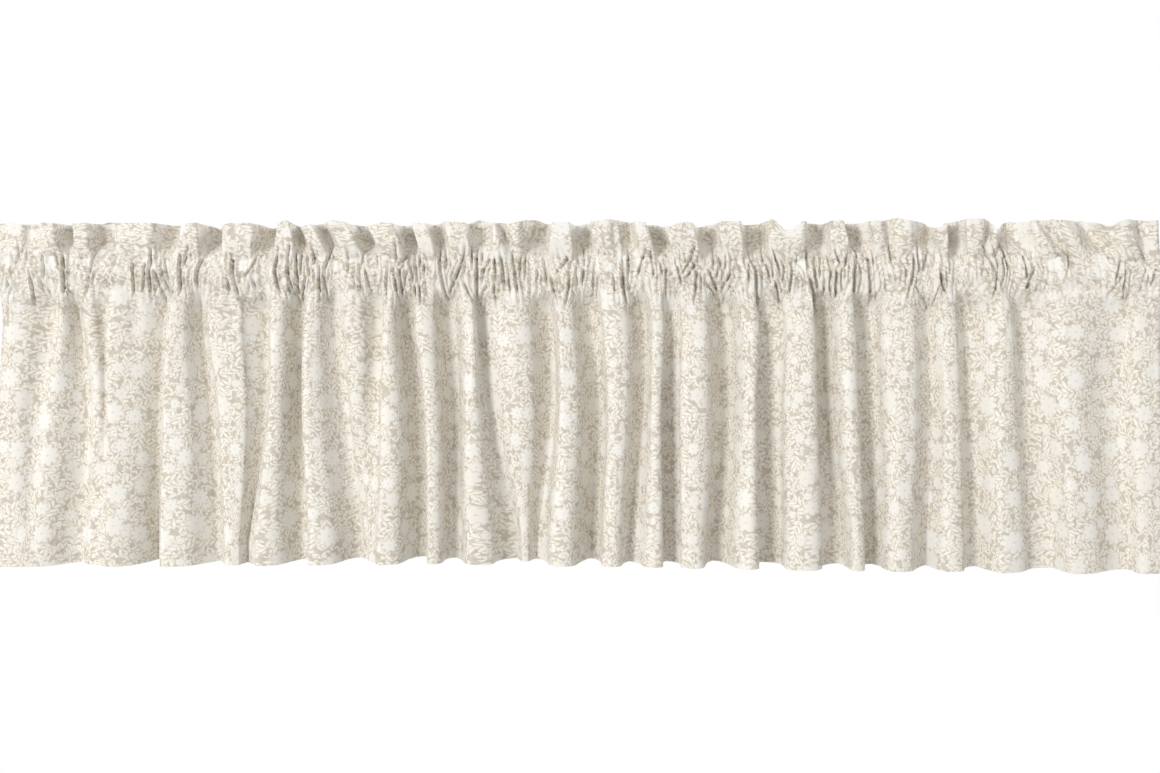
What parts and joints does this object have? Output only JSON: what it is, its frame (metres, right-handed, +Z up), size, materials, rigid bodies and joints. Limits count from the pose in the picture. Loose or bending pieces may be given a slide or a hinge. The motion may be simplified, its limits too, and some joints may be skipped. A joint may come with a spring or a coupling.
{
  "type": "gathered rod-pocket window valance",
  "caption": "Short gathered window valance of floral printed cotton, with a frilled heading over a rod pocket, hanging in uneven soft folds.",
  "frame": {"origin": "middle of the top edge of the heading, level with its highest point", "axes": "+X along the width, to the right as seen from the front; the front faces -Y; +Z up"},
  "size_m": [1.4962, 0.0454, 0.4506],
  "materials": {
    "printed_cotton": "matt plain-weave cotton, ivory flowers and leaves on a greige ground"
  },
  "bodies": {
    "root": {"valance_cloth": "printed_cotton"}
  },
  "joints": []
}
